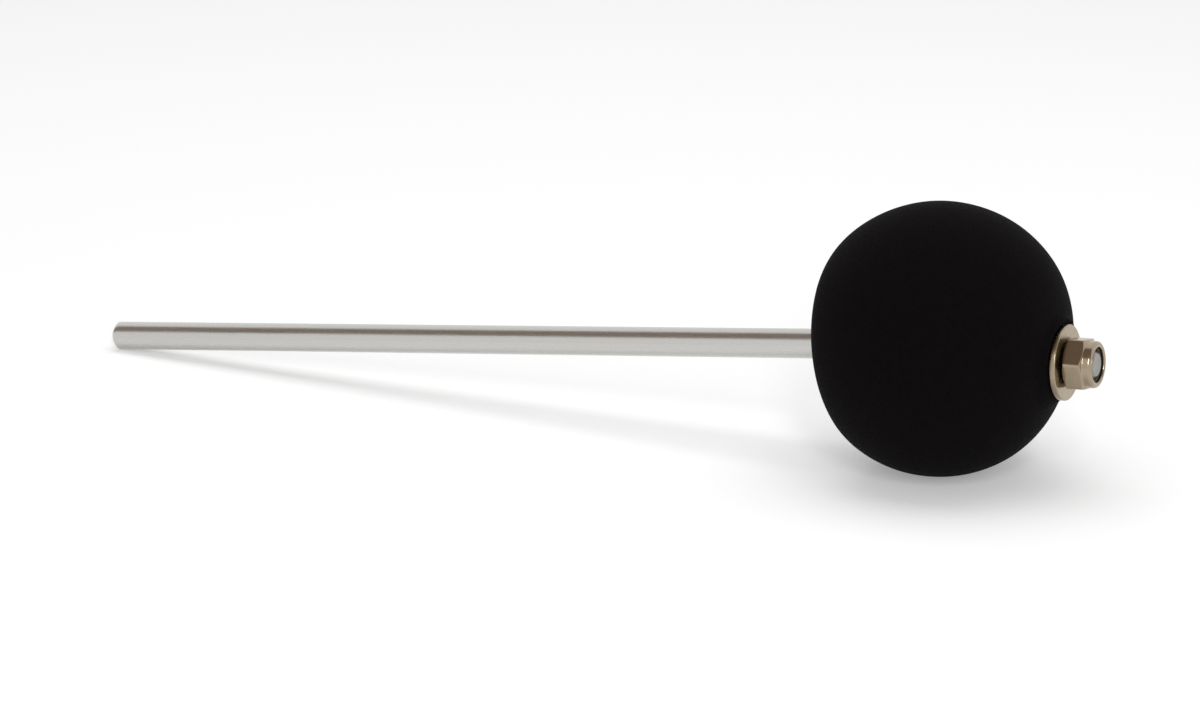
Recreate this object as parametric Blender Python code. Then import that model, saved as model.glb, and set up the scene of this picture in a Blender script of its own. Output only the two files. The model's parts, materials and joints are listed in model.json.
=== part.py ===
"""Beater for a cajon foot pedal, lying loose on its foam ball and on its tail.

A plated rod is clamped in the pedal's hub at its plain tail. Its other end is a
threaded stud with a small set to it, and a foam ball is squeezed on that stud
between a thin nut at the back and a washer and lock nut at the front. The ball is
bored off its centre, so the heavy rod rolls to the bottom when the beater lies down.
"""

import math

import bmesh
import bpy
import numpy as np

MM = 0.001

# Gaps between pieces that touch on the real beater
SEAT_GAP = 0.3 * MM

# Rod: straight from the tail to the corner of the set, then straight along the stud
ROD_DIAMETER = 8.0 * MM
ROD_STRAIGHT = 224.0 * MM
TAIL_CHAMFER = 1.0 * MM
SET_ANGLE = math.radians(3.5)
SET_RADIUS = 40.0 * MM
SET_TO_STUD = 0.3 * MM

# Stud: the thread's mean diameter, between its crests and its roots
STUD_DIAMETER = 7.5 * MM
STUD_TIP_CHAMFER = 0.6 * MM
STUD_BELOW_CREST = 0.4 * MM

# Nuts: the same size of hexagon and the same bore
HEX_ACROSS_FLATS = 13.0 * MM
HEX_CORNER_RADIUS = 0.3 * MM
HEX_CORNER_STEPS = 3
NUT_FACE_DIAMETER = 11.8 * MM
NUT_CHAMFER_ANGLE = math.radians(30.0)
NUT_COUNTERSINK = 0.4 * MM
BACK_NUT_HEIGHT = 4.0 * MM
BACK_NUT_STANDOFF = 0.9 * MM
BACK_NUT_TURN = math.radians(12.0)

# Lock nut: a hexagon, a collar rolled in over the nylon ring, and the ring's groove
LOCK_NUT_HEIGHT = 8.0 * MM
LOCK_NUT_TURN = math.radians(22.0)
COLLAR_DIAMETER = 12.4 * MM
COLLAR_LENGTH = 2.5 * MM
COLLAR_WALL = 0.8 * MM
COLLAR_ROOT_RADIUS = 0.4 * MM
COLLAR_ROLL_RADIUS = 0.95 * MM
LIP_BORE_DIAMETER = 9.2 * MM
LIP_THICKNESS = 0.7 * MM
NYLON_RING_HEIGHT = 1.6 * MM

# Washers
WASHER_BORE_DIAMETER = 8.4 * MM
WASHER_EDGE_RADIUS = 0.3 * MM
BACK_WASHER_DIAMETER = 16.0 * MM
BACK_WASHER_THICKNESS = 1.6 * MM
FRONT_WASHER_DIAMETER = 20.0 * MM
FRONT_WASHER_THICKNESS = 1.5 * MM

# Sleeve in the ball's bore
SLEEVE_BORE_DIAMETER = 8.4 * MM
SLEEVE_WALL = 1.6 * MM

# Ball: a sphere bored off its centre, and pulled in round both seats
BALL_DIAMETER = 73.0 * MM
BORE_OFFSET = 3.85 * MM
BACK_SQUEEZE = 9.4 * MM
BACK_SQUEEZE_REACH = 19.9 * MM
BACK_SQUEEZE_POWER = 3.4
FRONT_SQUEEZE = 2.0 * MM
FRONT_SQUEEZE_REACH = 21.0 * MM
FRONT_SQUEEZE_POWER = 2.6
FRONT_SEAT_INSIDE_WASHER = 1.2 * MM
BACK_SEAT_PAST_WASHER = 0.5 * MM
SEAT_BLEND = 4.4 * MM

# Facets round each turned shape
ROD_SEGMENTS = 48
NUT_SEGMENTS = 72
WASHER_SEGMENTS = 48
SLEEVE_SEGMENTS = 40
BALL_SEGMENTS = 48
BALL_RINGS = 30
SET_STEPS = 6
EDGE_STEPS = 4
SMOOTH_UNDER = math.radians(30.0)

# Places along the stud's axis, measured from the corner of the rod's set
SET_TANGENT = SET_RADIUS * math.tan(SET_ANGLE / 2)
STUD_START = SET_TANGENT + SET_TO_STUD
BACK_NUT_AT = SET_TANGENT + BACK_NUT_STANDOFF
BACK_WASHER_AT = BACK_NUT_AT + BACK_NUT_HEIGHT + SEAT_GAP
BACK_SEAT_AT = BACK_WASHER_AT + BACK_WASHER_THICKNESS + SEAT_GAP
BALL_RADIUS = BALL_DIAMETER / 2
BORE_HALF_CHORD = math.sqrt(BALL_RADIUS**2 - BORE_OFFSET**2)
BACK_SEAT_DEPTH = BORE_HALF_CHORD - BACK_SQUEEZE
BACK_SEAT_RADIUS = BACK_WASHER_DIAMETER / 2 + BACK_SEAT_PAST_WASHER
FRONT_SEAT_DEPTH = BORE_HALF_CHORD - FRONT_SQUEEZE
FRONT_SEAT_RADIUS = FRONT_WASHER_DIAMETER / 2 - FRONT_SEAT_INSIDE_WASHER
BALL_AT = BACK_SEAT_AT + BACK_SEAT_DEPTH
FRONT_SEAT_AT = BALL_AT + FRONT_SEAT_DEPTH
FRONT_WASHER_AT = FRONT_SEAT_AT + SEAT_GAP
LOCK_NUT_AT = FRONT_WASHER_AT + FRONT_WASHER_THICKNESS + SEAT_GAP
STUD_END = LOCK_NUT_AT + LOCK_NUT_HEIGHT - STUD_BELOW_CREST

# What fits round the stud
NUT_BORE_RADIUS = STUD_DIAMETER / 2 + SEAT_GAP
SLEEVE_RADIUS = SLEEVE_BORE_DIAMETER / 2 + SLEEVE_WALL
BALL_BORE_RADIUS = SLEEVE_RADIUS + SEAT_GAP
HEX_CORNER = HEX_ACROSS_FLATS / 2 / math.cos(math.pi / 6)
HEX_BAR_LENGTH = 4 * max(LOCK_NUT_HEIGHT, BACK_NUT_HEIGHT)


def make_material(name, colour, roughness, metallic):
    """Principled material with one colour, roughness and metallic value."""
    material = bpy.data.materials.new(name)
    material.use_nodes = True
    shader = material.node_tree.nodes["Principled BSDF"]
    shader.inputs["Base Color"].default_value = (*colour, 1.0)
    shader.inputs["Roughness"].default_value = roughness
    shader.inputs["Metallic"].default_value = metallic
    material.diffuse_color = (*colour, 1.0)
    return material


def make_object(name, mesh, material, parent):
    """Object with its material, under its parent, smooth where its faces run round."""
    piece = bpy.data.objects.new(name, mesh)
    bpy.context.scene.collection.objects.link(piece)
    mesh.materials.append(material)
    mesh.shade_smooth()
    mesh.set_sharp_from_angle(angle=SMOOTH_UNDER)
    piece.parent = parent
    return piece


def make_empty(name, parent):
    """Axis that pieces are placed along."""
    empty = bpy.data.objects.new(name, None)
    empty.empty_display_size = 20 * MM
    bpy.context.scene.collection.objects.link(empty)
    empty.parent = parent
    return empty


def arc_points(centre_along, centre_out, radius, start, end):
    """Points of an arc in the (along, out) plane, with both its ends."""
    angles = np.radians(np.linspace(start, end, EDGE_STEPS + 1))
    return [(centre_along + radius * math.cos(a), centre_out + radius * math.sin(a)) for a in angles]


def turned_mesh(name, outline, segments):
    """Ring turned round X from a closed outline of (along, out) points."""
    work = bmesh.new()
    verts = [work.verts.new((along, 0.0, out)) for along, out in outline]
    edges = [work.edges.new(pair) for pair in zip(verts, verts[1:] + verts[:1])]
    bmesh.ops.spin(
        work,
        geom=verts + edges,
        cent=(0.0, 0.0, 0.0),
        axis=(1.0, 0.0, 0.0),
        angle=math.tau,
        steps=segments,
    )
    bmesh.ops.remove_doubles(work, verts=work.verts, dist=1e-6)
    bmesh.ops.recalc_face_normals(work, faces=work.faces)
    mesh = bpy.data.meshes.new(name)
    work.to_mesh(mesh)
    work.free()
    return mesh


def grid_mesh(name, points, close_rows):
    """Quads over an array of rings of points, joined end to end or capped flat."""
    rows, columns = points.shape[:2]
    index = np.arange(rows * columns).reshape(rows, columns)
    below = index if close_rows else index[:-1]
    above = np.roll(index, -1, axis=0) if close_rows else index[1:]
    quads = np.stack([below, above, np.roll(above, -1, axis=1), np.roll(below, -1, axis=1)], axis=-1)
    faces = quads.reshape(-1, 4).tolist()
    if not close_rows:
        faces.append(index[0].tolist())
        faces.append(index[-1][::-1].tolist())
    mesh = bpy.data.meshes.new(name)
    mesh.from_pydata(points.reshape(-1, 3).tolist(), [], faces)
    work = bmesh.new()
    work.from_mesh(mesh)
    bmesh.ops.recalc_face_normals(work, faces=work.faces)
    work.to_mesh(mesh)
    work.free()
    return mesh


def make_rod(parent, material):
    """Rod drawn as rings along its centre line: straight, round the set, straight."""
    set_start = ROD_STRAIGHT - SET_TANGENT
    radius = ROD_DIAMETER / 2
    stud_radius = STUD_DIAMETER / 2
    corner = np.array([ROD_STRAIGHT, 0.0, 0.0])
    tip_direction = np.array([math.cos(SET_ANGLE), 0.0, -math.sin(SET_ANGLE)])

    # Each ring is a centre, the angle its axis points down by, and a radius
    rings = [
        (np.array([0.0, 0.0, 0.0]), 0.0, radius - TAIL_CHAMFER),
        (np.array([TAIL_CHAMFER, 0.0, 0.0]), 0.0, radius),
    ]
    for step in range(SET_STEPS + 1):
        turn = SET_ANGLE * step / SET_STEPS
        along = set_start + SET_RADIUS * math.sin(turn)
        down = SET_RADIUS * (1.0 - math.cos(turn))
        rings.append((np.array([along, 0.0, -down]), turn, radius))
    for at, size in (
        (STUD_START, radius),
        (STUD_START + radius - stud_radius, stud_radius),
        (STUD_END - STUD_TIP_CHAMFER, stud_radius),
        (STUD_END, stud_radius - STUD_TIP_CHAMFER),
    ):
        rings.append((corner + at * tip_direction, SET_ANGLE, size))

    around = np.linspace(0.0, math.tau, ROD_SEGMENTS, endpoint=False)
    points = np.empty((len(rings), ROD_SEGMENTS, 3))
    for row, (centre, turn, size) in enumerate(rings):
        up = np.array([math.sin(turn), 0.0, math.cos(turn)])
        side = np.array([0.0, 1.0, 0.0])
        points[row] = centre + size * (np.outer(np.cos(around), up) + np.outer(np.sin(around), side))
    return make_object("rod", grid_mesh("rod", points, False), material, parent)


def make_washer(name, diameter, thickness, parent, material):
    """Stamped washer: one face has the rounded edge that the punch leaves."""
    outer = diameter / 2
    inner = WASHER_BORE_DIAMETER / 2
    edge = min(WASHER_EDGE_RADIUS, thickness / 3)
    outline = [(0.0, inner), (0.0, outer)]
    outline += arc_points(thickness - edge, outer - edge, edge, 90.0, 0.0)
    outline += [(thickness, inner)]
    return make_object(name, turned_mesh(name, outline, WASHER_SEGMENTS), material, parent)


def make_hex_bar(length, parent):
    """Six-sided bar with its long edges rounded, which cuts the flats of a turned blank."""
    work = bmesh.new()
    bmesh.ops.create_cone(
        work,
        cap_ends=True,
        segments=6,
        radius1=HEX_CORNER,
        radius2=HEX_CORNER,
        depth=length,
    )
    long_edges = [e for e in work.edges if abs(e.verts[0].co.z - e.verts[1].co.z) > length / 2]
    bmesh.ops.bevel(
        work,
        geom=long_edges,
        offset=HEX_CORNER_RADIUS,
        segments=HEX_CORNER_STEPS,
        profile=0.5,
        affect="EDGES",
    )
    mesh = bpy.data.meshes.new("hex_bar")
    work.to_mesh(mesh)
    work.free()
    bar = bpy.data.objects.new("hex_bar", mesh)
    bpy.context.scene.collection.objects.link(bar)
    bar.parent = parent
    bar.rotation_euler.y = math.radians(90.0)
    bar.hide_render = True
    bar.display_type = "WIRE"
    return bar


def make_nut(name, outline, at, turn, parent, material):
    """Turned blank whose flats are cut by a hexagonal bar, as chamfered nuts are made."""
    nut = make_object(name, turned_mesh(name, outline, NUT_SEGMENTS), material, parent)
    nut.location.x = at
    nut.rotation_euler.x = turn
    flats = nut.modifiers.new("flats", "BOOLEAN")
    flats.operation = "INTERSECT"
    flats.solver = "EXACT"
    flats.object = make_hex_bar(HEX_BAR_LENGTH, nut)
    return nut


def make_back_nut(parent, material):
    """Thin nut, chamfered on both faces."""
    blank = HEX_CORNER + SEAT_GAP
    face = NUT_FACE_DIAMETER / 2
    chamfer = (blank - face) * math.tan(NUT_CHAMFER_ANGLE)
    bore = NUT_BORE_RADIUS
    outline = [
        (NUT_COUNTERSINK, bore),
        (0.0, bore + NUT_COUNTERSINK),
        (0.0, face),
        (chamfer, blank),
        (BACK_NUT_HEIGHT - chamfer, blank),
        (BACK_NUT_HEIGHT, face),
        (BACK_NUT_HEIGHT, bore + NUT_COUNTERSINK),
        (BACK_NUT_HEIGHT - NUT_COUNTERSINK, bore),
    ]
    return make_nut("back_nut", outline, BACK_NUT_AT, BACK_NUT_TURN, parent, material)


def make_lock_nut(parent, material):
    """Nut with a collar rolled inwards over the groove that holds the nylon ring."""
    blank = HEX_CORNER + SEAT_GAP
    face = NUT_FACE_DIAMETER / 2
    bore = NUT_BORE_RADIUS
    collar = COLLAR_DIAMETER / 2
    lip = LIP_BORE_DIAMETER / 2
    slope = math.tan(NUT_CHAMFER_ANGLE)
    root_turn = 180.0 + math.degrees(NUT_CHAMFER_ANGLE)
    collar_at = LOCK_NUT_HEIGHT - COLLAR_LENGTH
    root = COLLAR_ROOT_RADIUS
    roll = COLLAR_ROLL_RADIUS
    groove = collar - COLLAR_WALL
    groove_end = LOCK_NUT_HEIGHT - LIP_THICKNESS
    groove_at = groove_end - NYLON_RING_HEIGHT - 2 * SEAT_GAP

    outline = [(NUT_COUNTERSINK, bore), (0.0, bore + NUT_COUNTERSINK), (0.0, face)]
    outline += [((blank - face) * slope, blank)]
    outline += [(collar_at - (blank - collar - root) * slope, blank)]
    outline += arc_points(collar_at + root, collar + root, root, root_turn, 270.0)
    outline += arc_points(LOCK_NUT_HEIGHT - roll, collar - roll, roll, 90.0, 0.0)
    outline += [(LOCK_NUT_HEIGHT - LIP_THICKNESS / 4, lip), (groove_end, lip)]
    outline += [(groove_end, groove), (groove_at, groove), (groove_at, bore)]
    return make_nut("lock_nut", outline, LOCK_NUT_AT, LOCK_NUT_TURN, parent, material)


def make_nylon_ring(parent, material):
    """Ring that sits in the lock nut's groove and grips the stud."""
    inner = NUT_BORE_RADIUS
    outer = COLLAR_DIAMETER / 2 - COLLAR_WALL - SEAT_GAP
    outline = [(0.0, inner), (0.0, outer), (NYLON_RING_HEIGHT, outer), (NYLON_RING_HEIGHT, inner)]
    ring = make_object("nylon_ring", turned_mesh("nylon_ring", outline, WASHER_SEGMENTS), material, parent)
    ring.location.x = LOCK_NUT_AT + LOCK_NUT_HEIGHT - LIP_THICKNESS - SEAT_GAP - NYLON_RING_HEIGHT
    return ring


def make_core_sleeve(parent, material):
    """Tube between the two washers, which the lock nut is run up against."""
    start = BACK_SEAT_AT
    length = FRONT_SEAT_AT - start
    inner = SLEEVE_BORE_DIAMETER / 2
    outline = [(0.0, inner), (0.0, SLEEVE_RADIUS), (length, SLEEVE_RADIUS), (length, inner)]
    mesh = turned_mesh("core_sleeve", outline, SLEEVE_SEGMENTS)
    sleeve = make_object("core_sleeve", mesh, material, parent)
    sleeve.location.x = start
    return sleeve


def squeezed(along, out, side):
    """Pull the foam in round the bore on one side, down to a flat seat for the washer.

    The pull fades with the distance out from the bore as exp(-(out / reach) ** power).
    Out to the seat's radius the surface is the seat's plane, and past it a smooth step
    leads back to the pulled-in surface.
    """
    if side > 0:
        depth, reach, power = FRONT_SQUEEZE, FRONT_SQUEEZE_REACH, FRONT_SQUEEZE_POWER
        seat, flat = FRONT_SEAT_DEPTH, FRONT_SEAT_RADIUS
    else:
        depth, reach, power = BACK_SQUEEZE, BACK_SQUEEZE_REACH, BACK_SQUEEZE_POWER
        seat, flat = -BACK_SEAT_DEPTH, BACK_SEAT_RADIUS
    pulled = along - side * depth * np.exp(-((out / reach) ** power))
    step = np.clip((out - flat) / SEAT_BLEND, 0.0, 1.0)
    fade = step * step * (3.0 - 2.0 * step)
    return seat + fade * (pulled - seat)


def sphere_along(out, up, side):
    """How far the sphere reaches along the bore, at a distance out from the bore's axis."""
    return np.sqrt(BALL_RADIUS**2 - (out * up - BORE_OFFSET) ** 2 - (out * side) ** 2)


def make_ball(parent, material):
    """Foam ball as rings round its bore, whose axis passes under the sphere's centre."""
    around = np.linspace(0.0, math.tau, BALL_SEGMENTS, endpoint=False)
    up, side = np.cos(around), np.sin(around)

    # Polar angles, from the front of the bore, at which the sphere is one seat's radius out
    front_angle = np.arctan2(FRONT_SEAT_RADIUS, sphere_along(FRONT_SEAT_RADIUS, up, side))
    back_angle = np.arctan2(BACK_SEAT_RADIUS, -sphere_along(BACK_SEAT_RADIUS, up, side))
    share = np.linspace(0.0, 1.0, BALL_RINGS)[:, None]
    angle = front_angle + share * (back_angle - front_angle)

    # Distance from the bore's middle to the sphere in each direction
    lift = BORE_OFFSET * np.sin(angle) * up
    reach = lift + np.sqrt(lift**2 + BALL_RADIUS**2 - BORE_OFFSET**2)
    out = reach * np.sin(angle)
    along = reach * np.cos(angle)
    along = np.where(along > 0.0, squeezed(along, out, 1), squeezed(along, out, -1))

    skin = np.stack([along, out * side, out * up], axis=-1)
    bore = np.stack([np.zeros(BALL_SEGMENTS), BALL_BORE_RADIUS * side, BALL_BORE_RADIUS * up], axis=-1)
    front_mouth = bore + np.array([FRONT_SEAT_DEPTH, 0.0, 0.0])
    back_mouth = bore + np.array([-BACK_SEAT_DEPTH, 0.0, 0.0])
    points = np.concatenate([front_mouth[None], skin, back_mouth[None]])
    ball = make_object("ball", grid_mesh("ball", points, True), material, parent)
    ball.location.x = BALL_AT
    return ball


def lay_down(root):
    """Tip the beater until its ball and its tail's lower edge both stand on z = 0."""
    tail = np.array([TAIL_CHAMFER, -ROD_DIAMETER / 2])
    tip = np.array([math.cos(SET_ANGLE), -math.sin(SET_ANGLE)])
    across = np.array([math.sin(SET_ANGLE), math.cos(SET_ANGLE)])
    centre = np.array([ROD_STRAIGHT, 0.0]) + BALL_AT * tip + BORE_OFFSET * across
    run, rise = centre - tail
    tilt = math.asin(BALL_RADIUS / math.hypot(run, rise)) - math.atan2(rise, run)
    root.rotation_euler.y = -tilt
    root.location.z = -(tail[0] * math.sin(tilt) + tail[1] * math.cos(tilt))


def centre_on_origin(root, pieces):
    """Slide the beater along X until the origin is under the middle of its length."""
    bpy.context.view_layer.update()
    depsgraph = bpy.context.evaluated_depsgraph_get()
    lows, highs = [], []
    for piece in pieces:
        body = piece.evaluated_get(depsgraph)
        corners = np.empty(3 * len(body.data.vertices))
        body.data.vertices.foreach_get("co", corners)
        turn = np.array(body.matrix_world)
        world = corners.reshape(-1, 3) @ turn[:3, :3].T + turn[:3, 3]
        lows.append(world[:, 0].min())
        highs.append(world[:, 0].max())
    root.location.x -= (min(lows) + max(highs)) / 2


def main():
    for old in list(bpy.data.objects):
        bpy.data.objects.remove(old, do_unlink=True)

    plated_steel = make_material("plated_steel", (0.62, 0.61, 0.58), 0.28, 1.0)
    nut_nickel = make_material("nut_nickel", (0.60, 0.54, 0.44), 0.22, 1.0)
    washer_nickel = make_material("washer_nickel", (0.62, 0.57, 0.49), 0.26, 1.0)
    thin_nut_zinc = make_material("thin_nut_zinc", (0.58, 0.56, 0.51), 0.30, 1.0)
    back_washer_zinc = make_material("back_washer_zinc", (0.60, 0.58, 0.54), 0.30, 1.0)
    foam = make_material("foam", (0.012, 0.012, 0.012), 0.85, 0.0)
    ring_nylon = make_material("ring_nylon", (0.10, 0.09, 0.08), 0.5, 0.0)
    tube_nylon = make_material("tube_nylon", (0.70, 0.69, 0.65), 0.45, 0.0)

    beater = make_empty("beater", None)
    rod = make_rod(beater, plated_steel)
    stud_axis = make_empty("stud_axis", beater)
    stud_axis.location.x = ROD_STRAIGHT
    stud_axis.rotation_euler.y = SET_ANGLE

    back_washer = make_washer(
        "back_washer", BACK_WASHER_DIAMETER, BACK_WASHER_THICKNESS, stud_axis, back_washer_zinc
    )
    back_washer.location.x = BACK_WASHER_AT
    front_washer = make_washer(
        "front_washer", FRONT_WASHER_DIAMETER, FRONT_WASHER_THICKNESS, stud_axis, washer_nickel
    )
    front_washer.location.x = FRONT_WASHER_AT

    pieces = [
        rod,
        make_back_nut(stud_axis, thin_nut_zinc),
        back_washer,
        make_core_sleeve(stud_axis, tube_nylon),
        make_ball(stud_axis, foam),
        front_washer,
        make_lock_nut(stud_axis, nut_nickel),
        make_nylon_ring(stud_axis, ring_nylon),
    ]
    lay_down(beater)
    centre_on_origin(beater, pieces)


main()
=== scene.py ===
"""Looks of a cajon pedal beater: plated rod with a threaded stud, foam ball, washers and nuts.

Every piece is a surface worked out on a grid round one of two axes, the rod's and the
stud's, which are read from the frame. Lengths are in metres.
"""

import json
import math

import bmesh
import bpy
import numpy as np
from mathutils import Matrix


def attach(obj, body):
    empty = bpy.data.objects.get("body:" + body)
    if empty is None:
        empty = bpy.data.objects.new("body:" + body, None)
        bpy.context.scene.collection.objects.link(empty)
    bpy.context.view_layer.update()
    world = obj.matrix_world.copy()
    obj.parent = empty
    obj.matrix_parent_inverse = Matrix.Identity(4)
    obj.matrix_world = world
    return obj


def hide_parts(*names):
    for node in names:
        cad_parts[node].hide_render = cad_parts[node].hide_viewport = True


bl_info = {
    "name": "Cajon Pedal Beater",
    "version": (1, 0, 0),
    "blender": (4, 5, 0),
    "location": "View3D > Sidebar > Beater",
    "description": "Builds the visible surfaces of a foam-ball pedal beater round its frame",
    "category": "Object",
}

MM = 0.001
SHAFT = "shaft"
HEAD = "head"

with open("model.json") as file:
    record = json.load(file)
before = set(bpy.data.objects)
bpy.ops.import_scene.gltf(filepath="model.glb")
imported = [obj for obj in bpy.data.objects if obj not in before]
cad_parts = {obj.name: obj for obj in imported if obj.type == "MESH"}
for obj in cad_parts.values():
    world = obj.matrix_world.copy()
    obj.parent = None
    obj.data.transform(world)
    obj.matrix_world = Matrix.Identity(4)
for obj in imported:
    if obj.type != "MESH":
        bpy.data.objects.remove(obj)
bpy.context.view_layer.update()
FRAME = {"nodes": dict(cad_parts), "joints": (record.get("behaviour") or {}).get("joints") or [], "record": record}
JOINT = FRAME["joints"][0]
ROD_MOUNT = FRAME["record"]["mounts"][0]

# What both nuts share
NUT_FACE_RADIUS = 5.9 * MM
NUT_CHAMFER = math.radians(30.0)
NUT_CHAMFER_SLOPE = math.tan(NUT_CHAMFER)
NUT_COUNTERSINK = 0.4 * MM
NUT_EDGE = 0.16 * MM
BLANK_UNDER_CORNER = 0.12 * MM
CORNER_SHARE = 0.995

# Lock nut's collar, and the lip that is rolled in over its nylon ring
COLLAR_LENGTH = 2.5 * MM
COLLAR_WALL = 0.8 * MM
COLLAR_ROOT = 0.4 * MM
LIP_THICKNESS = 0.7 * MM
LIP_ROUND = 0.35 * MM
RING_ROOM = 0.3 * MM

# Edges of washers and moulded rings
FINE_EDGE = 0.12 * MM
PUNCHED_EDGE = 0.3 * MM

# Points round each surface, and along its finest stretch
ROD_AROUND = 96
NUT_AROUND = 360
WASHER_AROUND = 180
BALL_AROUND = 288
BALL_ROWS = 220
ROWS_PER_PITCH = 12
SMOOTH_UNDER = math.radians(32.0)

# Plating's dull patches, and how far its grain reaches into gloss and height
PATCH_FROM = 0.35
PATCH_TO = 0.75
GRAIN_IN_GLOSS = 0.16
GRAIN_DEPTH = 0.05 * MM


class Axis:
    """Straight line with its own along, side and up directions, side being world Y."""

    def __init__(self, origin, direction):
        self.origin = np.array(origin, float)
        self.along = np.array(direction, float)
        self.along /= np.linalg.norm(self.along)
        self.side = np.array([0.0, 1.0, 0.0])
        self.up = np.cross(self.along, self.side)

    def place(self, along, side, up):
        """World points from distances along, to the side of and above the axis."""
        return (
            self.origin
            + along[..., None] * self.along
            + side[..., None] * self.side
            + up[..., None] * self.up
        )

    def local(self, points):
        """Distances along, to the side of and above the axis, from world points."""
        offset = points - self.origin
        return offset @ self.along, offset @ self.side, offset @ self.up

    def pitch(self):
        """Turn about Y that lays world X along the axis."""
        return -math.atan2(self.along[2], self.along[0])


ROD_AXIS = Axis(ROD_MOUNT["pos_m"], [-part for part in ROD_MOUNT["axis"]])
STUD_AXIS = Axis(JOINT["pos_m"], JOINT["axis"])


def node_points(node):
    """Distances along, beside and above the stud's axis of a CAD node's vertices."""
    mesh = FRAME["nodes"][node].data
    points = np.empty(3 * len(mesh.vertices))
    mesh.vertices.foreach_get("co", points)
    return STUD_AXIS.local(points.reshape(-1, 3))


def node_span(node):
    """Start, end, least and greatest radius of a CAD node about the stud's axis."""
    along, side, up = node_points(node)
    out = np.hypot(side, up)
    return along.min(), along.max(), out.min(), out.max()


def corner_angle(node):
    """Angle, from up towards the side, of one corner of a hexagonal CAD node.

    The outermost vertices lie at its six corners. Six times their angles all point the
    same way, and a sixth of that direction is the answer.
    """
    _, side, up = node_points(node)
    out = np.hypot(side, up)
    corners = np.arctan2(side, up)[out > CORNER_SHARE * out.max()]
    return float(np.angle(np.exp(6j * corners).mean())) / 6.0


def bend_stations():
    """Where the two axes cross: how far along the rod's axis, and along the stud's."""
    rod, stud = ROD_AXIS, STUD_AXIS
    matrix = np.array([[rod.along[0], -stud.along[0]], [rod.along[2], -stud.along[2]]])
    gap = stud.origin - rod.origin
    return np.linalg.solve(matrix, gap[[0, 2]])


def turn_angles(count):
    """Angles of a ring's points, from up towards the side."""
    return np.linspace(0.0, math.tau, count, endpoint=False)


def line(start, end, count):
    """Points from start up to, and without, end."""
    share = np.arange(count)[:, None] / count
    return np.array(start) + share * (np.array(end) - np.array(start))


def chain(points, counts):
    """Straight stretches from each point to the next, each with its own count of points."""
    stretches = zip(points, points[1:], counts)
    return np.concatenate([line(start, end, count) for start, end, count in stretches])


def arc(centre, radius, first, last, count):
    """Points on a circle between two angles in degrees, with both ends."""
    turn = np.radians(np.linspace(first, last, count))
    return np.array(centre) + radius * np.stack([np.cos(turn), np.sin(turn)], axis=1)


def ring_outline(span, near, far, face_points, edge_points, face_step):
    """Rectangle with its corners rounded: by near at the ring's start, by far at its end.

    edge_points counts the points of the near corners, the far outer and the far inner one.
    """
    start, end, inner, outer = span
    near_points, far_outer_points, far_inner_points = edge_points
    return np.concatenate(
        [
            line((start, inner + near), (start, outer - near), face_points),
            arc((start + near, outer - near), near, 180.0, 90.0, near_points),
            arc((end - far, outer - far), far, 90.0, 0.0, far_outer_points),
            line((end, outer - far - face_step), (end, inner + far), face_points),
            arc((end - far, inner + far), far, 360.0, 270.0, far_inner_points),
            arc((start + near, inner + near), near, 270.0, 180.0, near_points)[:-1],
        ]
    )


def smooth_mesh(name, points, closed_rows):
    """Mesh over a grid of rings. Rows join end to end, or the two end rings are capped."""
    rows, columns = points.shape[:2]
    index = np.arange(rows * columns).reshape(rows, columns)
    below = index if closed_rows else index[:-1]
    above = np.roll(index, -1, axis=0) if closed_rows else index[1:]
    quads = np.stack([below, above, np.roll(above, -1, axis=1), np.roll(below, -1, axis=1)], axis=-1)
    faces = quads.reshape(-1, 4).tolist()
    if not closed_rows:
        faces.append(index[0].tolist())
        faces.append(index[-1][::-1].tolist())
    mesh = bpy.data.meshes.new(name)
    mesh.from_pydata(points.reshape(-1, 3).tolist(), [], faces)
    work = bmesh.new()
    work.from_mesh(mesh)
    bmesh.ops.recalc_face_normals(work, faces=work.faces)
    work.to_mesh(mesh)
    work.free()
    mesh.shade_smooth()
    mesh.set_sharp_from_angle(angle=SMOOTH_UNDER)
    return mesh


def turned_points(outline, around_count, hexagon=None):
    """Outline of (along, out) points turned round the stud's axis.

    With a hexagon, given as its half width across the flats and a corner's angle, the
    radius is a smooth least of the outline's and the hexagon's, which leaves the curved
    edges that a chamfer cuts across flats.
    """
    around = turn_angles(around_count)
    along = np.repeat(outline[:, :1], around_count, axis=1)
    out = np.repeat(outline[:, 1:], around_count, axis=1)
    if hexagon:
        half_flats, corner = hexagon
        sector = math.tau / 6
        from_flat = np.mod(around - corner, sector) - sector / 2
        flats = half_flats / np.cos(from_flat)
        out = (out + flats - np.sqrt((out - flats) ** 2 + NUT_EDGE**2)) / 2
    return STUD_AXIS.place(along, out * np.sin(around), out * np.cos(around))


def add_object(name, data):
    """New object in the scene, at the origin."""
    made = bpy.data.objects.new(name, data)
    bpy.context.scene.collection.objects.link(made)
    return made


def add_piece(name, mesh, material, body, node):
    """Object for one piece, which rides its body and stands for its CAD node."""
    piece = add_object(name, mesh)
    mesh.materials.append(material)
    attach(piece, body)
    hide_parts(node)
    return piece


def new_material(name):
    """Material, its node tree's nodes and links, and its Principled shader."""
    material = bpy.data.materials.new(name)
    material.use_nodes = True
    nodes, links = material.node_tree.nodes, material.node_tree.links
    return material, nodes, links, nodes["Principled BSDF"]


def tone_between(nodes, links, factor, color, least, most):
    """A colour times least where the factor is 0, and times most where it is 1."""
    tone = nodes.new("ShaderNodeMix")
    tone.data_type = "RGBA"
    tone.inputs["A"].default_value = (*(least * part for part in color), 1.0)
    tone.inputs["B"].default_value = (*(most * part for part in color), 1.0)
    links.new(factor, tone.inputs["Factor"])
    return tone.outputs["Result"]


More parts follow.
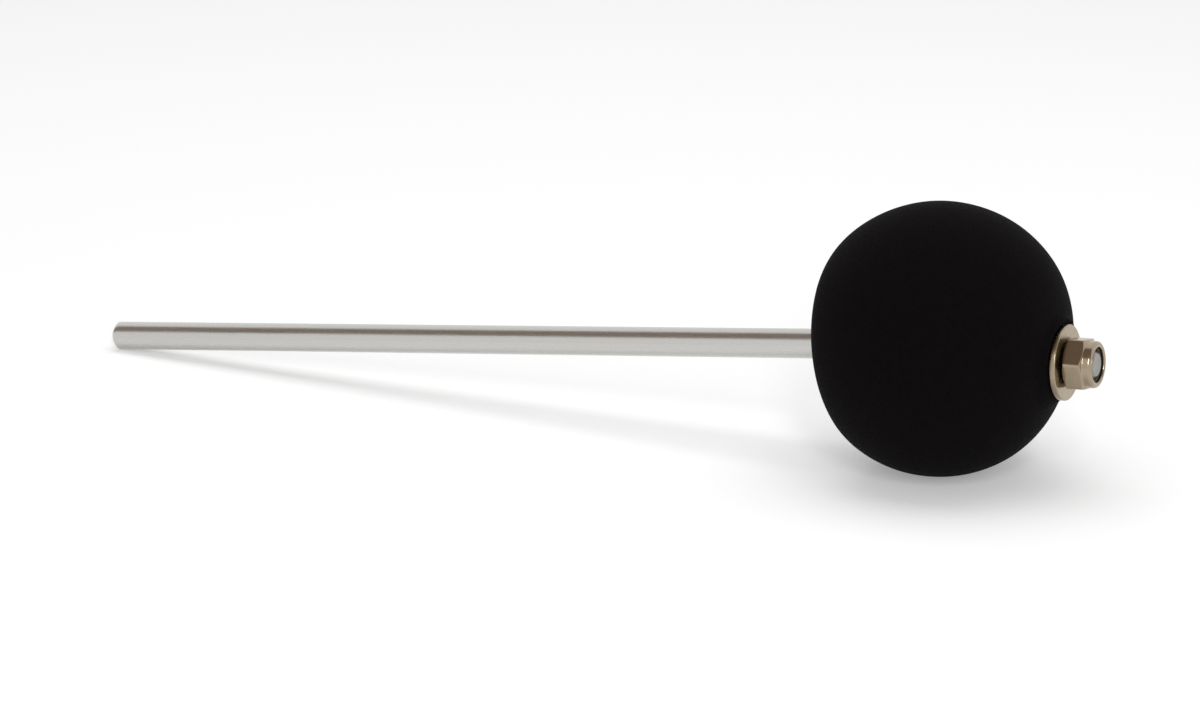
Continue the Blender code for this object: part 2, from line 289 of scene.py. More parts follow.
def value_between(nodes, links, factor, least, most):
    """Least where the factor is 0, and most where it is 1."""
    spread = nodes.new("ShaderNodeMapRange")
    spread.inputs["To Min"].default_value = least
    spread.inputs["To Max"].default_value = most
    links.new(factor, spread.inputs["Value"])
    return spread.outputs["Result"]


def add_bump(nodes, links, shader, height, strength, distance):
    """Let a height raise the shader's surface."""
    bump = nodes.new("ShaderNodeBump")
    bump.inputs["Strength"].default_value = strength
    bump.inputs["Distance"].default_value = distance
    links.new(height, bump.inputs["Height"])
    links.new(bump.outputs["Normal"], shader.inputs["Normal"])


def plating_group():
    """Node group for plated metal: cloudy tone, fine grain and an uneven gloss."""
    name = "plating"
    if name in bpy.data.node_groups:
        return bpy.data.node_groups[name]
    group = bpy.data.node_groups.new(name, "ShaderNodeTree")
    for direction, label, kind in (
        ("INPUT", "Vector", "NodeSocketVector"),
        ("INPUT", "Color", "NodeSocketColor"),
        ("INPUT", "Dull Color", "NodeSocketColor"),
        ("INPUT", "Roughness", "NodeSocketFloat"),
        ("INPUT", "Grain Scale", "NodeSocketFloat"),
        ("INPUT", "Cloud Scale", "NodeSocketFloat"),
        ("OUTPUT", "Color", "NodeSocketColor"),
        ("OUTPUT", "Roughness", "NodeSocketFloat"),
        ("OUTPUT", "Height", "NodeSocketFloat"),
    ):
        group.interface.new_socket(name=label, in_out=direction, socket_type=kind)
    nodes, links = group.nodes, group.links
    inlet = nodes.new("NodeGroupInput")
    outlet = nodes.new("NodeGroupOutput")
    grain = nodes.new("ShaderNodeTexNoise")
    grain.inputs["Detail"].default_value = 4.0
    cloud = nodes.new("ShaderNodeTexNoise")
    cloud.inputs["Detail"].default_value = 3.0
    for texture, scale in ((grain, "Grain Scale"), (cloud, "Cloud Scale")):
        links.new(inlet.outputs["Vector"], texture.inputs["Vector"])
        links.new(inlet.outputs[scale], texture.inputs["Scale"])
    patch = nodes.new("ShaderNodeMapRange")
    patch.inputs["From Min"].default_value = PATCH_FROM
    patch.inputs["From Max"].default_value = PATCH_TO
    links.new(cloud.outputs["Fac"], patch.inputs["Value"])
    tone = nodes.new("ShaderNodeMix")
    tone.data_type = "RGBA"
    links.new(patch.outputs["Result"], tone.inputs["Factor"])
    links.new(inlet.outputs["Color"], tone.inputs["A"])
    links.new(inlet.outputs["Dull Color"], tone.inputs["B"])
    spread = nodes.new("ShaderNodeMath")
    spread.operation = "MULTIPLY_ADD"
    spread.inputs[1].default_value = GRAIN_IN_GLOSS
    links.new(grain.outputs["Fac"], spread.inputs[0])
    links.new(inlet.outputs["Roughness"], spread.inputs[2])
    links.new(tone.outputs["Result"], outlet.inputs["Color"])
    links.new(spread.outputs["Value"], outlet.inputs["Roughness"])
    links.new(grain.outputs["Fac"], outlet.inputs["Height"])
    return group


def plated_material(name, color, axis, dull_share, roughness, grain, cloud, relief, stretch=1.0):
    """Metal finish. Its grain is stretched along an axis, as drawing leaves it."""
    material, nodes, links, shader = new_material(name)
    shader.inputs["Metallic"].default_value = 1.0
    place = nodes.new("ShaderNodeTexCoord")
    mapping = nodes.new("ShaderNodeMapping")
    mapping.vector_type = "TEXTURE"
    mapping.inputs["Location"].default_value = axis.origin.tolist()
    mapping.inputs["Rotation"].default_value = (0.0, axis.pitch(), 0.0)
    mapping.inputs["Scale"].default_value = (stretch, 1.0, 1.0)
    links.new(place.outputs["Object"], mapping.inputs["Vector"])
    plating = nodes.new("ShaderNodeGroup")
    plating.node_tree = plating_group()
    links.new(mapping.outputs["Vector"], plating.inputs["Vector"])
    plating.inputs["Color"].default_value = (*color, 1.0)
    plating.inputs["Dull Color"].default_value = (*(dull_share * part for part in color), 1.0)
    plating.inputs["Roughness"].default_value = roughness
    plating.inputs["Grain Scale"].default_value = grain
    plating.inputs["Cloud Scale"].default_value = cloud
    links.new(plating.outputs["Color"], shader.inputs["Base Color"])
    links.new(plating.outputs["Roughness"], shader.inputs["Roughness"])
    add_bump(nodes, links, shader, plating.outputs["Height"], relief, GRAIN_DEPTH)
    return material


def foam_material(color, pore_size):
    """Matte closed-cell foam: a skin of fine cells over slow swells four cells wide."""
    material, nodes, links, shader = new_material("foam")
    shader.inputs["Specular IOR Level"].default_value = 0.06
    place = nodes.new("ShaderNodeTexCoord")
    cells = nodes.new("ShaderNodeTexVoronoi")
    cells.inputs["Scale"].default_value = 1.0 / pore_size
    skin = nodes.new("ShaderNodeTexNoise")
    skin.inputs["Scale"].default_value = 0.25 / pore_size
    skin.inputs["Detail"].default_value = 5.0
    for texture in (cells, skin):
        links.new(place.outputs["Object"], texture.inputs["Vector"])
    height = nodes.new("ShaderNodeMath")
    height.operation = "MULTIPLY_ADD"
    height.inputs[1].default_value = 0.8
    links.new(skin.outputs["Fac"], height.inputs[0])
    links.new(cells.outputs["Distance"], height.inputs[2])
    add_bump(nodes, links, shader, height.outputs["Value"], 0.5, 0.12 * MM)
    tone = tone_between(nodes, links, skin.outputs["Fac"], color, 0.75, 1.35)
    links.new(tone, shader.inputs["Base Color"])
    dull = value_between(nodes, links, cells.outputs["Distance"], 0.80, 0.98)
    links.new(dull, shader.inputs["Roughness"])
    return material


def nylon_material(name, color):
    """Moulded nylon: half gloss, with a faint cloudiness."""
    material, nodes, links, shader = new_material(name)
    place = nodes.new("ShaderNodeTexCoord")
    cloud = nodes.new("ShaderNodeTexNoise")
    cloud.inputs["Scale"].default_value = 600.0
    links.new(place.outputs["Object"], cloud.inputs["Vector"])
    tone = tone_between(nodes, links, cloud.outputs["Fac"], color, 0.85, 1.0)
    links.new(tone, shader.inputs["Base Color"])
    gloss = value_between(nodes, links, cloud.outputs["Fac"], 0.42, 0.58)
    links.new(gloss, shader.inputs["Roughness"])
    return material


class BeaterSizes(bpy.types.PropertyGroup):
    """Sizes of the shapes that the frame only stands for."""

    rod_radius: bpy.props.FloatProperty(
        name="Rod radius", description="Radius of the plain rod", default=4.0 * MM, unit="LENGTH"
    )
    tail_chamfer: bpy.props.FloatProperty(
        name="Tail chamfer", description="Bevel on the rod's tail", default=1.0 * MM, unit="LENGTH"
    )
    bend_radius: bpy.props.FloatProperty(
        name="Bend radius", description="Radius of the rod's set", default=40.0 * MM, unit="LENGTH"
    )
    thread_pitch: bpy.props.FloatProperty(
        name="Thread pitch",
        description="Distance between the stud's crests",
        default=1.25 * MM,
        unit="LENGTH",
    )
    thread_crest: bpy.props.FloatProperty(
        name="Thread crest", description="Radius over the crests", default=3.95 * MM, unit="LENGTH"
    )
    thread_root: bpy.props.FloatProperty(
        name="Thread root", description="Radius at the roots", default=3.30 * MM, unit="LENGTH"
    )
    ball_radius: bpy.props.FloatProperty(
        name="Ball radius", description="Radius of the foam ball", default=36.5 * MM, unit="LENGTH"
    )
    bore_offset: bpy.props.FloatProperty(
        name="Bore offset",
        description="Bore's distance under the ball's centre",
        default=3.85 * MM,
        unit="LENGTH",
    )
    foam_lip: bpy.props.FloatProperty(
        name="Foam lip",
        description="Height of the foam that laps the front washer",
        default=1.0 * MM,
        unit="LENGTH",
    )
    across_flats: bpy.props.FloatProperty(
        name="Across flats", description="Width of both hexagons", default=13.0 * MM, unit="LENGTH"
    )
    collar_radius: bpy.props.FloatProperty(
        name="Collar radius", description="Radius of the lock nut's collar", default=6.2 * MM, unit="LENGTH"
    )
    collar_roll: bpy.props.FloatProperty(
        name="Collar roll", description="Radius of the rolled rim", default=0.95 * MM, unit="LENGTH"
    )
    nut_clock: bpy.props.FloatProperty(
        name="Nut clock",
        description="Angle from up of a corner of the lock nut, as the photograph shows it",
        default=math.radians(40.0),
        subtype="ANGLE",
    )
    lip_bore: bpy.props.FloatProperty(
        name="Lip bore", description="Radius of the hole in the rolled rim", default=4.6 * MM, unit="LENGTH"
    )


class BeaterFinishes(bpy.types.PropertyGroup):
    """Colours and gloss of the finishes."""

    rod_color: bpy.props.FloatVectorProperty(
        name="Rod plate",
        description="Colour of the rod's plating",
        subtype="COLOR",
        default=(0.58, 0.57, 0.55),
    )
    # Darker copy of the rod's plate for the stud and its end face: partly the stud's own bare steel, partly
    # painted shade for the dimmer reflection its end shows
    stud_steel_and_shade_color: bpy.props.FloatVectorProperty(
        name="Stud plate",
        description="Colour of the threaded stud",
        subtype="COLOR",
        default=(0.33, 0.32, 0.29),
    )
    nickel_color: bpy.props.FloatVectorProperty(
        name="Nickel",
        description="Colour of the lock nut and front washer",
        subtype="COLOR",
        default=(0.38, 0.31, 0.22),
    )
    foam_color: bpy.props.FloatVectorProperty(
        name="Foam",
        description="Colour of the foam ball",
        subtype="COLOR",
        default=(0.0030, 0.0022, 0.0024),
    )
    ring_color: bpy.props.FloatVectorProperty(
        name="Nylon ring",
        description="Colour of the nut's insert",
        subtype="COLOR",
        default=(0.10, 0.09, 0.08),
    )
    sleeve_color: bpy.props.FloatVectorProperty(
        name="Core sleeve",
        description="Colour of the tube in the bore",
        subtype="COLOR",
        default=(0.70, 0.69, 0.65),
    )
    pore_size: bpy.props.FloatProperty(
        name="Pore size", description="Width of a cell of the foam", default=0.55 * MM, unit="LENGTH"
    )
    rod_roughness: bpy.props.FloatProperty(
        name="Rod roughness", description="Least roughness of the rod", default=0.20, subtype="FACTOR"
    )


class BeaterStage(bpy.types.PropertyGroup):
    """Camera, lamps and floor."""

    elevation: bpy.props.FloatProperty(
        name="Elevation", description="Camera's height angle", default=math.radians(16.52), subtype="ANGLE"
    )
    azimuth: bpy.props.FloatProperty(
        name="Azimuth", description="Camera's turn about Z", default=math.radians(26.70), subtype="ANGLE"
    )
    distance: bpy.props.FloatProperty(
        name="Distance", description="Camera's distance", default=1.2327, unit="LENGTH"
    )
    aim_right: bpy.props.FloatProperty(
        name="Aim right", description="Aim's place right of the origin", default=5.39 * MM, unit="LENGTH"
    )
    aim_up: bpy.props.FloatProperty(
        name="Aim up", description="Aim's place above the origin", default=15.80 * MM, unit="LENGTH"
    )
    lens: bpy.props.FloatProperty(
        name="Lens", description="Focal length in millimetres on a 36 mm sensor", default=133.7
    )
    top_power: bpy.props.FloatProperty(
        name="Top softbox", description="Power of the overhead lamp", default=6.0, unit="POWER"
    )
    key_power: bpy.props.FloatProperty(
        name="Key softbox", description="Power of the lamp beside the camera", default=7.0, unit="POWER"
    )
    fill: bpy.props.FloatProperty(
        name="Fill", description="Strength of the light from all round", default=0.36
    )
    floor_lift: bpy.props.FloatProperty(
        name="Floor lift", description="Light added to the floor as it is seen", default=0.29
    )


class BEATER_OT_rod(bpy.types.Operator):
    """Plated rod with its set and its threaded stud"""

    bl_idname = "beater.rod"
    bl_label = "Plated Rod"

    face_edge = 0.08 * MM
    face_inset = 0.05 * MM
    face_rise = 0.06 * MM
    bevel_edge = 0.1 * MM
    bevel_inset = 0.12 * MM
    plain_after = 1.0 * MM
    plain_rings = 60
    bend_rings = 12
    crest_sharpness = 2.6
    runout_after = 0.6 * MM
    tip_under_root = 0.35 * MM

    def shank(self, sizes, length, around):
        """Rings along the rod's axis: the tail's face and bevel, eased, then the plain length."""
        radius, chamfer = sizes.rod_radius, sizes.tail_chamfer
        tail = np.array(
            [
                (0.0, radius - chamfer - self.face_inset),
                (self.face_edge, radius - chamfer + self.face_rise),
                (chamfer - self.bevel_edge, radius - self.bevel_inset),
                (chamfer + self.bevel_edge, radius),
            ]
        )
        plain = np.linspace(chamfer + self.plain_after, length, self.plain_rings)
        stations = np.concatenate([tail[:, 0], plain])
        radii = np.concatenate([tail[:, 1], np.full(plain.size, radius)])
        return ROD_AXIS.place(
            np.repeat(stations[:, None], ROD_AROUND, axis=1),
            radii[:, None] * np.sin(around),
            radii[:, None] * np.cos(around),
        )

    def bend(self, sizes, start, set_angle, around):
        """Rings square to an arc, which turns the rod's axis down into the stud's."""
        turns = np.linspace(0.0, set_angle, self.bend_rings)[1:-1]
        run = sizes.bend_radius * np.sin(turns)[:, None]
        drop = sizes.bend_radius * (1.0 - np.cos(turns))[:, None]
        arc_start = ROD_AXIS.origin + start * ROD_AXIS.along
        centres = arc_start + run * ROD_AXIS.along - drop * ROD_AXIS.up
        ups = np.cos(turns)[:, None] * ROD_AXIS.up + np.sin(turns)[:, None] * ROD_AXIS.along
        return (
            centres[:, None]
            + sizes.rod_radius * np.cos(around)[None, :, None] * ups[:, None]
            + sizes.rod_radius * np.sin(around)[None, :, None] * ROD_AXIS.side
        )

    def stud(self, sizes, start, around):
        """Rings along the stud's axis, whose radius follows a helix.

        It is a triangle wave of distance over pitch less turn, clipped to flat crests and
        roots. It fades in from the plain rod's radius, and the tip's cone cuts it down.
        """
        end = node_span("rod")[1]
        step = sizes.thread_pitch / ROWS_PER_PITCH
        at = np.append(np.arange(start, end, step), end)[:, None]
        phase = np.mod(at / sizes.thread_pitch - around / math.tau, 1.0)
        wave = np.clip(self.crest_sharpness * (np.abs(2.0 * phase - 1.0) - 0.5), -1.0, 1.0)
        middle = (sizes.thread_crest + sizes.thread_root) / 2
        depth = (sizes.thread_crest - sizes.thread_root) / 2
        runout = np.clip((at - start - self.runout_after) / sizes.thread_pitch, 0.0, 1.0)
        thread = middle + depth * wave
        thread = sizes.rod_radius + runout * (thread - sizes.rod_radius)
        tip = sizes.thread_root - self.tip_under_root + (end - at)
        out = np.minimum(thread, tip)
        return STUD_AXIS.place(
            np.repeat(at, ROD_AROUND, axis=1), out * np.sin(around), out * np.cos(around)
        )

    def execute(self, context):
        """Rings along the rod's axis, round the bend, then along the stud's axis."""
        sizes = context.scene.beater_sizes
        finishes = context.scene.beater_finishes
        corner, corner_on_stud = bend_stations()
        set_angle = math.acos(float(ROD_AXIS.along @ STUD_AXIS.along))
        tangent = sizes.bend_radius * math.tan(set_angle / 2)
        stud_start = corner_on_stud + tangent
        around = turn_angles(ROD_AROUND)
        rings = [
            self.shank(sizes, corner - tangent, around),
            self.bend(sizes, corner - tangent, set_angle, around),
            self.stud(sizes, stud_start, around),
        ]
        mesh = smooth_mesh("rod_plated", np.concatenate(rings), False)
        # Faces past the stud's start take the second material, the darker stud plate, which is partly painted
        # shade
        middles = np.empty(3 * len(mesh.polygons))
        mesh.polygons.foreach_get("center", middles)
        threaded = STUD_AXIS.local(middles.reshape(-1, 3))[0] > stud_start
        mesh.polygons.foreach_set("material_index", threaded.astype(np.int32))
        drawn = plated_material(
            "rod_plate",
            finishes.rod_color,
            ROD_AXIS,
            dull_share=0.93,
            roughness=finishes.rod_roughness,
            grain=2600.0,
            cloud=90.0,
            relief=0.10,
            stretch=24.0,
        )
        add_piece("rod_plated", mesh, drawn, SHAFT, "rod")
        # The stud gets a darker copy of the rod's plate: partly its bare steel, partly painted shade, darkened for
        # the dimmer reflection its end shows
        cut = plated_material(
            "stud_plate_and_shade",
            finishes.stud_steel_and_shade_color,
            STUD_AXIS,
            dull_share=0.80,
            roughness=0.30,
            grain=3200.0,
            cloud=400.0,
            relief=0.16,
        )
        mesh.materials.append(cut)
        return {"FINISHED"}


class BEATER_OT_ball(bpy.types.Operator):
    """Foam ball, squeezed in round both washers"""

    bl_idname = "beater.ball"
    bl_label = "Foam Ball"

    # Keyed by the end's side: 1 is the lock nut's and -1 the rod's
    squeezes = {
        1: {"depth": 2.0 * MM, "reach": 21.0 * MM, "power": 2.6, "past_rim": -1.2 * MM},
        -1: {"depth": 9.4 * MM, "reach": 19.9 * MM, "power": 3.4, "past_rim": 0.5 * MM},
    }
    seat_blend = 4.4 * MM
    lip_width = 0.85 * MM
    lip_at_bottom = 0.45
    lip_at_top = 0.55
    unevenness = 0.06 * MM
    end_crowding = 0.5

    def squeezed(self, along, out, side, seat, flat):
        """Surface pulled in by depth * exp(-(out / reach) ** power), then a smooth step to the seat."""
        squeeze = self.squeezes[side]
        pulled = along - side * squeeze["depth"] * np.exp(-((out / squeeze["reach"]) ** squeeze["power"]))
        step = np.clip((out - flat) / self.seat_blend, 0.0, 1.0)
        fade = step * step * (3.0 - 2.0 * step)
        return seat + fade * (pulled - seat)

    def execute(self, context):
        """Rings about the bore, each point on a sphere whose centre lies above the bore.

        Both ends are drawn in to flat seats. A ring of foam swells over the front
        washer's rim, most at the top, and long waves leave the skin slightly uneven.
        """
        sizes = context.scene.beater_sizes
        finishes = context.scene.beater_finishes
        back, front, bore, _ = node_span("ball")
        front_rim = node_span("front_washer")[3]
        back_rim = node_span("back_washer")[3]
        flats = {
            1: front_rim + self.squeezes[1]["past_rim"],
            -1: back_rim + self.squeezes[-1]["past_rim"],
        }
        around = turn_angles(BALL_AROUND)
        up, side = np.cos(around), np.sin(around)
        radius, offset = sizes.ball_radius, sizes.bore_offset

        def reach_along(out):
            """Sphere's distance along the bore from its middle, out from the bore's axis."""
            return np.sqrt(radius**2 - (out * up - offset) ** 2 - (out * side) ** 2)

        first = np.arctan2(flats[1], reach_along(flats[1]))
        last = np.arctan2(flats[-1], -reach_along(flats[-1]))
        share = np.linspace(0.0, 1.0, BALL_ROWS)[:, None]
        share = share - self.end_crowding * np.sin(math.tau * share) / math.tau
        angle = first + share * (last - first)
        lift = offset * np.sin(angle) * up
        reach = lift + np.sqrt(lift**2 + radius**2 - offset**2)
        waves = (
            np.sin(5 * around + 7 * angle)
            + np.sin(11 * around - 6 * angle + 1.0)
            + np.sin(3 * around + 13 * angle + 2.0)
        )
        calm = np.sin(math.pi * np.clip(share, 0.0, 1.0))
        reach = reach - self.unevenness * (1.0 + waves / 3.0) * calm / 2.0
        out = reach * np.sin(angle)
        along = reach * np.cos(angle)
        along = np.where(
            along > 0.0,
            self.squeezed(along, out, 1, front, flats[1]),
            self.squeezed(along, out, -1, back, flats[-1]),
        )
        middle = front_rim + 1.5 * self.lip_width
        lip = sizes.foam_lip * np.exp(-(((out - middle) / self.lip_width) ** 2))
        along = along + np.where(along > 0.0, lip * (self.lip_at_bottom + self.lip_at_top * up), 0.0)

        skin = np.stack([along, out * side, out * up], axis=-1)
        rim = np.stack([np.zeros(BALL_AROUND), bore * side, bore * up], axis=-1)
        mouths = [rim + np.array([place, 0.0, 0.0]) for place in (front, back)]
        local = np.concatenate([mouths[0][None], skin, mouths[1][None]])
        points = STUD_AXIS.place(local[..., 0], local[..., 1], local[..., 2])
        mesh = smooth_mesh("ball_foam", points, True)
        material = foam_material(finishes.foam_color, finishes.pore_size)
        piece = add_piece("ball_foam", mesh, material, HEAD, "ball")
        return {"FINISHED"}


class BEATER_OT_washers(bpy.types.Operator):
    """Stamped washers at both ends of the ball"""

    bl_idname = "beater.washers"
    bl_label = "Washers"

    def execute(self, context):
        """Rounded rectangle turned round the stud, with wide round edges on its end face."""
        finishes = context.scene.beater_finishes
        for node, slot, color, roughness in (
            ("front_washer", "nickel", finishes.nickel_color, 0.17),
            ("back_washer", "plated_steel", finishes.rod_color, 0.22),
        ):
            outline = ring_outline(node_span(node), FINE_EDGE, PUNCHED_EDGE, 24, (5, 8, 6), 0.1 * MM)
            mesh = smooth_mesh(node + "_turned", turned_points(outline, WASHER_AROUND), True)
            material = plated_material(
                node + "_plate",
                color,
                STUD_AXIS,
                dull_share=0.90,
                roughness=roughness,
                grain=3000.0,
                cloud=260.0,
                relief=0.12,
            )
            add_piece(node + "_turned", mesh, material, SHAFT, node)
        return {"FINISHED"}


class BEATER_OT_nuts(bpy.types.Operator):
    """Lock nut with a rolled collar, and the thin nut behind the ball"""

    bl_idname = "beater.nuts"
    bl_label = "Nuts"

    def lock_outline(self, start, end, bore, blank, sizes):
        """Profile of the lock nut: chamfers at 30 degrees, collar, rolled rim and insert groove."""
        collar, roll, root = sizes.collar_radius, sizes.collar_roll, COLLAR_ROOT
        collar_at = end - COLLAR_LENGTH
        rise = (blank - NUT_FACE_RADIUS) * NUT_CHAMFER_SLOPE
        fall = (blank - collar - root) * NUT_CHAMFER_SLOPE
        groove = collar - COLLAR_WALL
        ring_start = node_span("nylon_ring")[0] - RING_ROOM
        groove_end = end - LIP_THICKNESS
        hexagon = chain(
            [
                (start + NUT_COUNTERSINK, bore),
                (start, bore + NUT_COUNTERSINK),
                (start, NUT_FACE_RADIUS),
                (start + rise, blank),
                (collar_at - fall, blank),
                (collar_at + root * (1.0 - math.cos(NUT_CHAMFER)), collar + root / 2),
            ],
            (4, 10, 24, 44, 24),
        )
        groove_walls = chain(
            [
                (groove_end, sizes.lip_bore + 0.4 * MM),
                (groove_end, groove),
                (ring_start, groove),
                (ring_start, bore),
                (start + NUT_COUNTERSINK, bore),
            ],
            (4, 6, 4, 20),
        )
        return np.concatenate(
            [
                hexagon,
                arc((collar_at + root, collar + root), root, 210.0, 270.0, 8),
                line((collar_at + root + 0.1 * MM, collar), (end - roll, collar), 8),
                arc((end - roll, collar - roll), roll, 90.0, 0.0, 16),
                line((end, collar - roll - 0.02 * MM), (end - 0.12 * MM, sizes.lip_bore + 0.1 * MM), 6),
                arc((end - LIP_THICKNESS / 2, sizes.lip_bore + LIP_ROUND), LIP_ROUND, 330.0, 180.0, 10),
                groove_walls,
            ]
        )

    def thin_outline(self, start, end, bore, blank):
        """Profile of the thin nut, chamfered alike on both faces."""
        rise = (blank - NUT_FACE_RADIUS) * NUT_CHAMFER_SLOPE
        return chain(
            [
                (start + NUT_COUNTERSINK, bore),
                (start, bore + NUT_COUNTERSINK),
                (start, NUT_FACE_RADIUS),
                (start + rise, blank),
                (end - rise, blank),
                (end, NUT_FACE_RADIUS),
                (end, bore + NUT_COUNTERSINK),
                (end - NUT_COUNTERSINK, bore),
                (start + NUT_COUNTERSINK, bore),
            ],
            (4, 10, 20, 20, 20, 10, 4, 16),
        )

    def execute(self, context):
        """Each profile turned round the stud, and cut down to its hexagon."""
        sizes = context.scene.beater_sizes
        finishes = context.scene.beater_finishes
        half = sizes.across_flats / 2
        blank = half / math.cos(math.pi / 6) - BLANK_UNDER_CORNER
        for node, slot, color, roughness in (
            ("lock_nut", "nickel", finishes.nickel_color, 0.12),
            ("back_nut", "plated_steel", finishes.rod_color, 0.22),
        ):
            start, end, bore, _ = node_span(node)
            if node == "lock_nut":
                outline = self.lock_outline(start, end, bore, blank, sizes)
                clock = sizes.nut_clock
            else:
                outline = self.thin_outline(start, end, bore, blank)
                clock = corner_angle(node)
            points = turned_points(outline, NUT_AROUND, (half, clock))
            mesh = smooth_mesh(node + "_formed", points, True)
            material = plated_material(
                node + "_plate",
                color,
                STUD_AXIS,
                dull_share=0.88,
                roughness=roughness,
                grain=3400.0,
                cloud=320.0,
                relief=0.10,
            )
            add_piece(node + "_formed", mesh, material, SHAFT, node)
        return {"FINISHED"}


class BEATER_OT_nylon(bpy.types.Operator):
    """Nylon ring in the lock nut, and the tube in the ball's bore"""

    bl_idname = "beater.nylon"
    bl_label = "Nylon Pieces"

    def execute(self, context):
        """Rectangles with rounded corners, turned round the stud's axis."""
        finishes = context.scene.beater_finishes
        for node, slot, color in (
            ("nylon_ring", "ring_nylon", finishes.ring_color),
            ("core_sleeve", "tube_nylon", finishes.sleeve_color),
        ):
            outline = ring_outline(node_span(node), FINE_EDGE, FINE_EDGE, 6, (5, 5, 5), 0.05 * MM)
            mesh = smooth_mesh(node + "_moulded", turned_points(outline, WASHER_AROUND), True)
            add_piece(node + "_moulded", mesh, nylon_material(slot, color), SHAFT, node)
        return {"FINISHED"}


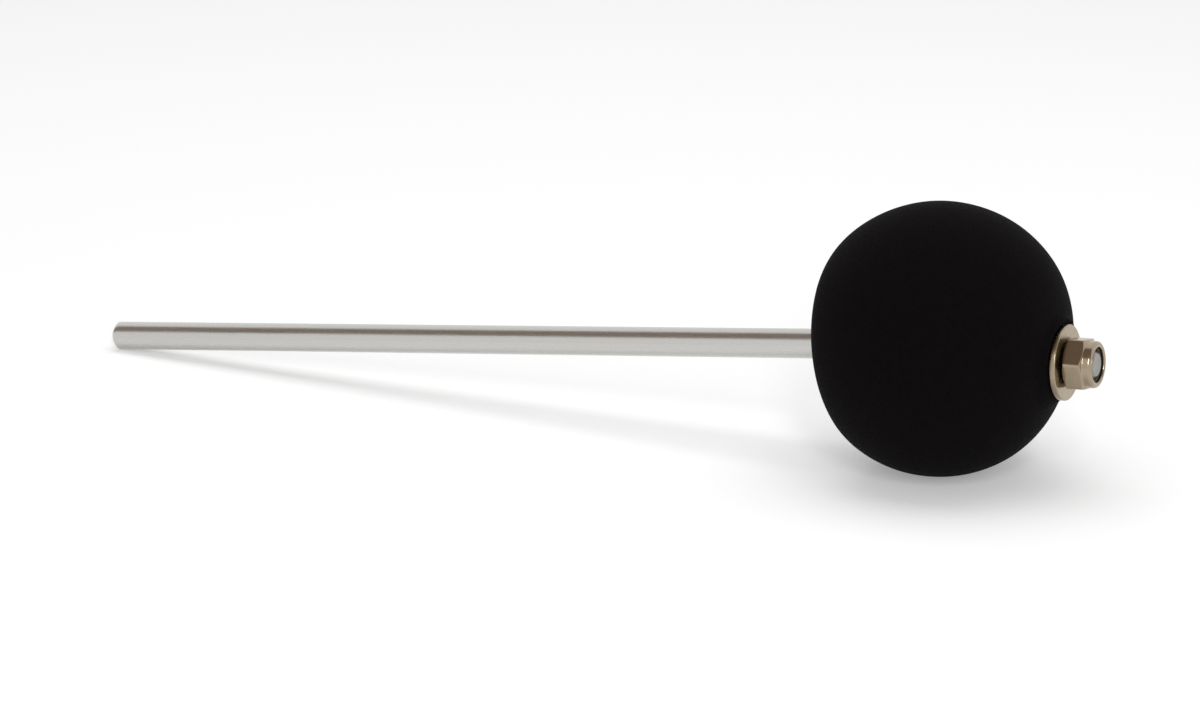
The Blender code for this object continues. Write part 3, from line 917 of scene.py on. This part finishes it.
class BEATER_OT_stage(bpy.types.Operator):
    """Pale floor, soft lamps and the camera"""

    bl_idname = "beater.stage"
    bl_label = "Stage"

    floor_half = 4.0
    floor_tone = (0.86, 0.86, 0.86, 1.0)
    card_from = math.radians(44.0)
    card_to = math.radians(98.0)
    card_away = 0.9
    card_left = -4.0
    card_right = 3.0
    card_tone = (0.03, 0.025, 0.02, 1.0)
    card_glow = (1.0, 0.80, 0.66, 1.0)
    card_strength = 0.26
    top_at = (0.0, 0.15, 1.1)
    top_turn = (0.0, 0.0, 0.0)
    top_size = (1.3, 0.9)
    key_at = (0.75, -1.15, 0.75)
    key_turn = (math.radians(61.0), 0.0, math.radians(33.0))
    key_size = (0.20, 0.62)

    def seen_light(self, nodes, links, base, seen):
        """Strength that is base for light in the scene, and seen where it shows or mirrors."""
        path = nodes.new("ShaderNodeLightPath")
        add = nodes.new("ShaderNodeMath")
        add.use_clamp = True
        links.new(path.outputs["Is Camera Ray"], add.inputs[0])
        links.new(path.outputs["Is Glossy Ray"], add.inputs[1])
        more = nodes.new("ShaderNodeMath")
        more.use_clamp = True
        links.new(add.outputs["Value"], more.inputs[0])
        links.new(path.outputs["Is Transmission Ray"], more.inputs[1])
        return value_between(nodes, links, more.outputs["Value"], base, seen)

    def add_sheet(self, name, corners, material):
        """Four-cornered face of the stage."""
        mesh = bpy.data.meshes.new(name)
        mesh.from_pydata(corners, [], [(0, 1, 2, 3)])
        mesh.materials.append(material)
        sheet = add_object(name, mesh)
        return sheet

    def add_floor(self, settings):
        """Wide plane at the surface that the beater lies on."""
        material, nodes, links, shader = new_material("pale_floor")
        shader.inputs["Base Color"].default_value = self.floor_tone
        shader.inputs["Roughness"].default_value = 0.9
        shader.inputs["Specular IOR Level"].default_value = 0.0
        shader.inputs["Emission Color"].default_value = (1.0, 1.0, 1.0, 1.0)
        seen = self.seen_light(nodes, links, 0.0, settings.floor_lift)
        links.new(seen, shader.inputs["Emission Strength"])
        half = self.floor_half
        corners = [(-half, -half, 0.0), (half, -half, 0.0), (half, half, 0.0), (-half, half, 0.0)]
        self.add_sheet("floor", corners, material)

    def add_card(self):
        """Long dark card over the camera's side, which only shows as it mirrors in the plating."""
        material, _, _, shader = new_material("dark_card")
        shader.inputs["Base Color"].default_value = self.card_tone
        shader.inputs["Roughness"].default_value = 1.0
        shader.inputs["Specular IOR Level"].default_value = 0.0
        shader.inputs["Emission Color"].default_value = self.card_glow
        shader.inputs["Emission Strength"].default_value = self.card_strength
        low, high = [
            (-self.card_away * math.cos(turn), self.card_away * math.sin(turn))
            for turn in (self.card_from, self.card_to)
        ]
        left, right = self.card_left, self.card_right
        card = self.add_sheet(
            "dark_card", [(left, *low), (right, *low), (right, *high), (left, *high)], material
        )
        card.visible_camera = False
        card.visible_diffuse = False
        card.visible_shadow = False

    def add_lamp(self, name, place, turn, size, power, mirrored):
        """Rectangular softbox, which shows in the plating only where it is mirrored."""
        data = bpy.data.lights.new(name, "AREA")
        data.shape = "RECTANGLE"
        data.size, data.size_y = size
        data.energy = power
        lamp = add_object(name, data)
        lamp.location = place
        lamp.rotation_euler = turn
        lamp.visible_camera = False
        lamp.visible_glossy = mirrored

    def add_camera(self, settings):
        """Camera on the photograph's line of sight."""
        elevation, azimuth = settings.elevation, settings.azimuth
        right = np.array([math.cos(azimuth), math.sin(azimuth), 0.0])
        sight = np.array(
            [
                -math.sin(azimuth) * math.cos(elevation),
                math.cos(azimuth) * math.cos(elevation),
                -math.sin(elevation),
            ]
        )
        above = np.cross(right, sight)
        aim = settings.aim_right * right + settings.aim_up * above
        data = bpy.data.cameras.new("camera")
        data.sensor_width = 36.0
        data.lens = settings.lens
        data.clip_start = 0.01
        camera = add_object("camera", data)
        camera.location = aim - settings.distance * sight
        camera.rotation_euler = (math.pi / 2 - elevation, 0.0, azimuth)
        bpy.context.scene.camera = camera

    def execute(self, context):
        """White world that shows brighter than it lights, then floor, card, lamps and camera."""
        scene = context.scene
        settings = scene.beater_stage
        scene.view_settings.view_transform = "Standard"
        world = bpy.data.worlds.new("studio")
        world.use_nodes = True
        scene.world = world
        nodes, links = world.node_tree.nodes, world.node_tree.links
        background = nodes["Background"]
        strength = self.seen_light(nodes, links, settings.fill, 1.0)
        links.new(strength, background.inputs["Strength"])
        background.inputs["Color"].default_value = (1.0, 1.0, 1.0, 1.0)
        self.add_floor(settings)
        self.add_card()
        self.add_lamp("top_softbox", self.top_at, self.top_turn, self.top_size, settings.top_power, False)
        self.add_lamp("key_softbox", self.key_at, self.key_turn, self.key_size, settings.key_power, True)
        self.add_camera(settings)
        return {"FINISHED"}


class BEATER_PT_panel(bpy.types.Panel):
    """Lists the beater's pieces, in the order they are built, and their settings"""

    bl_idname = "BEATER_PT_panel"
    bl_label = "Cajon Pedal Beater"
    bl_space_type = "VIEW_3D"
    bl_region_type = "UI"
    bl_category = "Beater"

    def draw(self, context):
        """A button for each operator, then every setting of each group."""
        for operator in BUILDERS:
            self.layout.operator(operator.bl_idname)
        for name in GROUPS:
            group = getattr(context.scene, name)
            column = self.layout.column()
            for key in group.bl_rna.properties.keys():
                if key not in ("rna_type", "name"):
                    column.prop(group, key)


BUILDERS = (
    BEATER_OT_stage,
    BEATER_OT_rod,
    BEATER_OT_ball,
    BEATER_OT_washers,
    BEATER_OT_nuts,
    BEATER_OT_nylon,
)
GROUPS = {"beater_sizes": BeaterSizes, "beater_finishes": BeaterFinishes, "beater_stage": BeaterStage}


def register():
    """Register the classes, and hang the settings on the scene."""
    for kind in (*GROUPS.values(), *BUILDERS, BEATER_PT_panel):
        bpy.utils.register_class(kind)
    for name, kind in GROUPS.items():
        setattr(bpy.types.Scene, name, bpy.props.PointerProperty(type=kind))


def unregister():
    """Undo register, in the opposite order."""
    for name in GROUPS:
        delattr(bpy.types.Scene, name)
    for kind in reversed((*GROUPS.values(), *BUILDERS, BEATER_PT_panel)):
        bpy.utils.unregister_class(kind)


def main():
    register()
    bpy.ops.beater.stage()
    bpy.ops.beater.rod()
    bpy.ops.beater.ball()
    bpy.ops.beater.washers()
    bpy.ops.beater.nuts()
    bpy.ops.beater.nylon()


if __name__ == "__main__":
    main()
